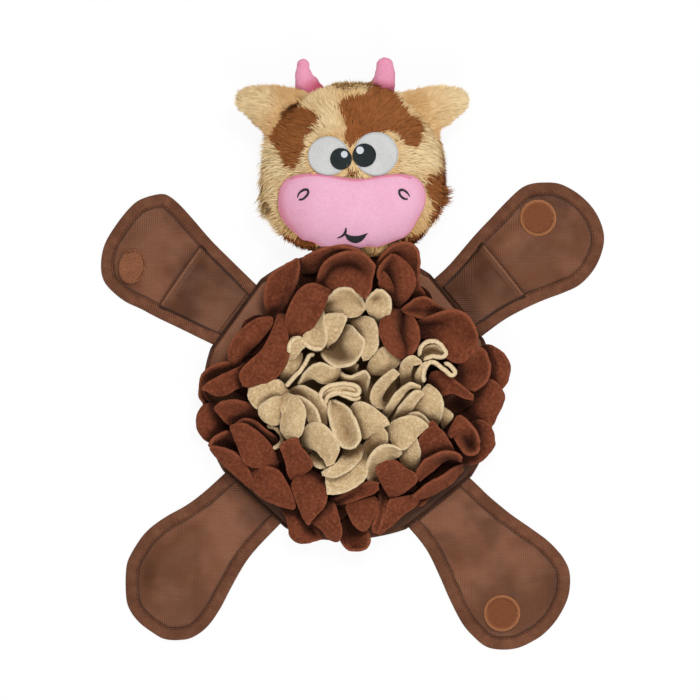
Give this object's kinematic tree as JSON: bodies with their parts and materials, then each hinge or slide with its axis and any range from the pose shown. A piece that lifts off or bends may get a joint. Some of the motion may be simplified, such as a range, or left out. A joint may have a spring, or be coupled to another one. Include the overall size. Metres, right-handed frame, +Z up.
{
  "type": "plush snuffle toy",
  "caption": "Flat plush cow with a stuffed head, four nylon limbs with treat pockets and closures, and a round body covered in fleece petals that hide treats.",
  "frame": {"origin": "centre of the flat underside of the round body", "axes": "+Z up, away from the surface that the toy lies on; +Y towards the head; +X to the right as seen from above"},
  "size_m": [0.3637, 0.4267, 0.0707],
  "materials": {
    "nylon": "woven oxford nylon, slight sheen",
    "tape": "ribbed grosgrain tape",
    "filling": "loose polyester filling",
    "brown_fleece": "matt anti-pill fleece",
    "cream_fleece": "matt anti-pill fleece",
    "hook": "hook fastener pad, stitched rim",
    "loop": "fuzzy loop fastener pad",
    "fur": "short plush fur, cream with brown patches",
    "velour": "short pink velour",
    "rose_velour": "short rose velour",
    "squeaker": "thin blow-moulded plastic",
    "white_felt": "white felt with stitched edge",
    "dark_felt": "charcoal felt",
    "pale_thread": "satin stitch",
    "black_thread": "satin stitch"
  },
  "bodies": {
    "base": {"back_panel": "nylon", "filling_pad": "filling", "top_panel": "nylon", "edge_binding": "tape", "brown_petals_outer_a": "brown_fleece", "brown_petals_outer_b": "brown_fleece", "brown_petals_outer_c": "brown_fleece", "brown_petals_outer_d": "brown_fleece", "brown_petals_inner_a": "brown_fleece", "brown_petals_inner_b": "brown_fleece", "brown_petals_inner_c": "brown_fleece", "brown_petals_inner_d": "brown_fleece", "cream_petals_outer_a": "cream_fleece", "cream_petals_outer_b": "cream_fleece", "cream_petals_outer_c": "cream_fleece", "cream_petals_middle_a": "cream_fleece", "cream_petals_middle_b": "cream_fleece", "cream_petals_inner_a": "cream_fleece", "cream_petals_inner_b": "cream_fleece", "cream_centre_tuft": "cream_fleece"},
    "arm_left": {"arm_left_panel": "nylon", "arm_left_binding": "tape", "arm_left_pocket": "nylon", "arm_left_loop_disc": "loop"},
    "arm_right": {"arm_right_panel": "nylon", "arm_right_binding": "tape", "arm_right_pocket": "nylon", "arm_right_hook_disc": "hook"},
    "leg_left": {"leg_left_panel": "nylon", "leg_left_binding": "tape", "leg_left_loop_disc": "loop"},
    "leg_right": {"leg_right_panel": "nylon", "leg_right_binding": "tape", "leg_right_hook_disc": "hook"},
    "head": {"neck_tab": "nylon", "head_front_cover": "fur", "head_back_cover": "fur", "head_stuffing": "filling", "squeaker": "squeaker", "muzzle": "velour", "nostril_left": "black_thread", "nostril_right": "black_thread", "mouth": "black_thread", "eye_white_left": "white_felt", "eye_white_right": "white_felt", "pupil_left": "dark_felt", "pupil_right": "dark_felt", "eye_glint_left": "pale_thread", "eye_glint_right": "pale_thread", "horn_left": "rose_velour", "horn_right": "rose_velour"},
    "ear_left": {"ear_left": "fur"},
    "ear_right": {"ear_right": "fur"}
  },
  "joints": [
    {"name": "arm_left_fold", "type": "hinge", "parent": "base", "child": "arm_left", "pos_m": [-0.08203, 0.0596, 0.0041], "axis": [0.5878, 0.809, 0], "range_deg": [0, 105]},
    {"name": "arm_right_fold", "type": "hinge", "parent": "base", "child": "arm_right", "pos_m": [0.07824, 0.0645, 0.0041], "axis": [0.6361, -0.7716, 0], "range_deg": [0, 105]},
    {"name": "leg_left_fold", "type": "hinge", "parent": "base", "child": "leg_left", "pos_m": [-0.0685, -0.07476, 0.0041], "axis": [-0.7373, 0.6756, 0], "range_deg": [0, 105]},
    {"name": "leg_right_fold", "type": "hinge", "parent": "base", "child": "leg_right", "pos_m": [0.06518, -0.07768, 0.0041], "axis": [-0.766, -0.6428, 0], "range_deg": [0, 105]},
    {"name": "neck_fold", "type": "hinge", "parent": "base", "child": "head", "pos_m": [0, 0.1014, 0.0041], "axis": [1, 0, 0], "range_deg": [0, 20]},
    {"name": "ear_left_fold", "type": "hinge", "parent": "head", "child": "ear_left", "pos_m": [-0.05022, 0.20083, 0.029], "axis": [0.5949, 0.8038, 0], "range_deg": [-20, 45], "stiffness_Nm_per_rad": 0.06},
    {"name": "ear_right_fold", "type": "hinge", "parent": "head", "child": "ear_right", "pos_m": [0.05282, 0.20521, 0.029], "axis": [0.6627, -0.7489, 0], "range_deg": [-20, 45], "stiffness_Nm_per_rad": 0.06}
  ]
}
